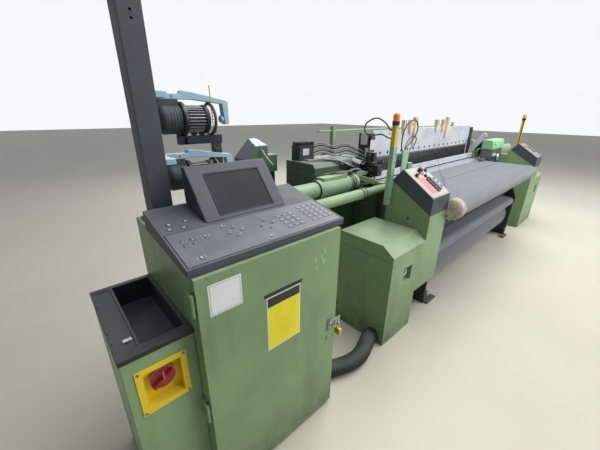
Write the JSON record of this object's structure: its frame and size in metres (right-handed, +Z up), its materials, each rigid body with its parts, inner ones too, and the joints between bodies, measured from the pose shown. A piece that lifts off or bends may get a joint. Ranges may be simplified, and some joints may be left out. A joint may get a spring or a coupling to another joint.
{
  "type": "power loom",
  "caption": "Rapier weaving machine with a control cabinet, low end covers, cloth rollers, sley and reed, heald frames and a warp beam.",
  "frame": {"origin": "centre of the machine's footprint, on the floor", "axes": "+X along the machine towards the right end, +Y from the weaver's side towards the warp beam, +Z up"},
  "size_m": [5.9724, 1.9774, 2.3],
  "materials": {
    "green_paint": "satin",
    "dark_green_paint": "satin",
    "slate_plastic": "matte",
    "key_plastic": "matte",
    "black_plastic": "matte",
    "black_paint": "satin",
    "yellow_paint": "satin",
    "red_plastic": "gloss",
    "screen_glass": "gloss",
    "steel": "brushed",
    "white_paint": "satin",
    "blue_plastic": "satin",
    "cloth": "woven",
    "yarn": "matte",
    "rubber": "matte",
    "brass": "satin",
    "wood": "matte",
    "orange_plastic": "gloss"
  },
  "bodies": {
    "root": {"control_cabinet": "green_paint", "electric_panel": "steel", "console_housing": "slate_plastic", "console_keypad": "key_plastic", "monitor_housing": "slate_plastic", "display_glass": "screen_glass", "switch_box": "green_paint", "tool_tray": "black_plastic", "switch_plate": "yellow_paint", "cable_column": "black_paint", "weft_feeders": "blue_plastic", "left_side_frame": "green_paint", "right_side_frame": "green_paint", "cross_beams": "green_paint", "roller_stands": "black_paint", "left_column": "green_paint", "right_column": "green_paint", "low_covers": "green_paint", "panel_boxes": "slate_plastic", "panel_plates": "white_paint", "lamp_posts": "yellow_paint", "lamp_bases": "black_plastic", "beacons": "orange_plastic", "cloth_web": "cloth", "temples": "steel", "heald_guides": "black_paint", "guard_tubes": "dark_green_paint", "drive_covers": "green_paint", "drive_motors": "steel", "dobby_box": "dark_green_paint", "warp_sheet": "yarn", "stop_motion": "steel", "cable_harness": "black_plastic", "floor_hose": "rubber", "machine_feet": "black_paint"},
    "door": {"cabinet_door": "green_paint", "padlock": "brass"},
    "main_switch": {"main_switch_knob": "red_plastic"},
    "drum_1": {"feeder_drum_1": "black_plastic"},
    "drum_2": {"feeder_drum_2": "black_plastic"},
    "left_latch": {"left_cover_latch": "steel"},
    "right_latch": {"right_cover_latch": "steel"},
    "e_stop": {"emergency_stop": "red_plastic"},
    "selector": {"selector_knob": "black_plastic"},
    "stop_key": {"stop_button": "red_plastic"},
    "start_key": {"start_button": "black_plastic"},
    "breast": {"breast_roll": "steel"},
    "take_up": {"take_up_roller": "rubber"},
    "press": {"press_roller": "steel"},
    "wound_cloth": {"cloth_roll": "cloth"},
    "beam": {"warp_beam": "steel"},
    "back_rest": {"back_rest_roller": "steel"},
    "sley": {"sley_beam": "steel", "reed": "steel"},
    "healds_1": {"heald_frame_1": "white_paint", "frame_clips": "wood"},
    "healds_2": {"heald_frame_2": "white_paint"},
    "healds_3": {"heald_frame_3": "white_paint"},
    "rapier_left": {"left_rapier": "steel"},
    "rapier_right": {"right_rapier": "steel"}
  },
  "joints": [
    {"name": "door_hinge", "type": "hinge", "parent": "root", "child": "door", "pos_m": [-2.77215, -0.9103, 0.535], "axis": [0, 0, -1], "range_deg": [0, 110]},
    {"name": "main_switch_turn", "type": "hinge", "parent": "root", "child": "main_switch", "pos_m": [-2.87715, -0.8513, 0.6985], "axis": [0, 1, 0], "range_deg": [0, 90]},
    {"name": "drum_1_spin", "type": "hinge", "parent": "root", "child": "drum_1", "pos_m": [-2.44915, -0.3353, 1.467], "axis": [1, 0, 0], "continuous": true},
    {"name": "drum_2_spin", "type": "hinge", "parent": "root", "child": "drum_2", "pos_m": [-2.44915, -0.3353, 1.227], "axis": [1, 0, 0], "continuous": true},
    {"name": "left_latch_turn", "type": "hinge", "parent": "root", "child": "left_latch", "pos_m": [-1.33815, -0.8663, 0.492], "axis": [0, 1, 0], "range_deg": [0, 90]},
    {"name": "right_latch_turn", "type": "hinge", "parent": "root", "child": "right_latch", "pos_m": [2.31885, -0.8663, 0.492], "axis": [0, -1, 0], "range_deg": [0, 90]},
    {"name": "e_stop_press", "type": "slide", "parent": "root", "child": "e_stop", "axis": [0, 0.5602, -0.8283], "range_m": [0, 0.005]},
    {"name": "selector_turn", "type": "hinge", "parent": "root", "child": "selector", "pos_m": [-1.07115, -0.71349, 1.09591], "axis": [0, -0.5602, 0.8283], "range_deg": [-45, 45]},
    {"name": "stop_press", "type": "slide", "parent": "root", "child": "stop_key", "axis": [0, 0.5602, -0.8283], "range_m": [0, 0.005], "stiffness_N_per_m": 600},
    {"name": "start_press", "type": "slide", "parent": "root", "child": "start_key", "axis": [0, 0.5602, -0.8283], "range_m": [0, 0.005], "stiffness_N_per_m": 600},
    {"name": "cloth_roll_turn", "type": "hinge", "parent": "root", "child": "wound_cloth", "pos_m": [0.28285, -0.5713, 0.266], "axis": [-1, 0, 0], "continuous": true},
    {"name": "take_up_turn", "type": "hinge", "parent": "root", "child": "take_up", "pos_m": [0.28285, -0.6863, 0.61], "axis": [-1, 0, 0], "continuous": true},
    {"name": "press_turn", "type": "hinge", "parent": "root", "child": "press", "pos_m": [0.28285, -0.7913, 0.46], "axis": [1, 0, 0], "continuous": true},
    {"name": "breast_turn", "type": "hinge", "parent": "root", "child": "breast", "pos_m": [0.28285, -0.9163, 0.855], "axis": [1, 0, 0], "continuous": true},
    {"name": "beam_turn", "type": "hinge", "parent": "root", "child": "beam", "pos_m": [0.49035, 0.6387, 0.43], "axis": [1, 0, 0], "continuous": true},
    {"name": "back_rest_turn", "type": "hinge", "parent": "root", "child": "back_rest", "pos_m": [0.49035, 0.7187, 0.857], "axis": [1, 0, 0], "continuous": true},
    {"name": "sley_swing", "type": "hinge", "parent": "root", "child": "sley", "pos_m": [0.49035, -0.2213, 0.262], "axis": [-1, 0, 0], "range_deg": [-8.5, 0]},
    {"name": "healds_1_lift", "type": "slide", "parent": "root", "child": "healds_1", "axis": [0, 0, 1], "range_m": [-0.07, 0]},
    {"name": "healds_2_lift", "type": "slide", "parent": "root", "child": "healds_2", "axis": [0, 0, 1], "range_m": [0, 0.07]},
    {"name": "healds_3_lift", "type": "slide", "parent": "root", "child": "healds_3", "axis": [0, 0, 1], "range_m": [-0.035, 0.035]},
    {"name": "rapier_left_slide", "type": "slide", "parent": "root", "child": "rapier_left", "axis": [1, 0, 0], "range_m": [0, 1.165]},
    {"name": "rapier_right_slide", "type": "slide", "parent": "root", "child": "rapier_right", "axis": [-1, 0, 0], "range_m": [0, 1.165]}
  ],
  "couplings": [
    {"joint": "take_up_turn", "follows": "cloth_roll_turn", "ratio": 2.8796},
    {"joint": "press_turn", "follows": "cloth_roll_turn", "ratio": 4.5603},
    {"joint": "breast_turn", "follows": "cloth_roll_turn", "ratio": 3.2829},
    {"joint": "back_rest_turn", "follows": "beam_turn", "ratio": 4.2277},
    {"joint": "rapier_right_slide", "follows": "rapier_left_slide", "ratio": 1}
  ]
}
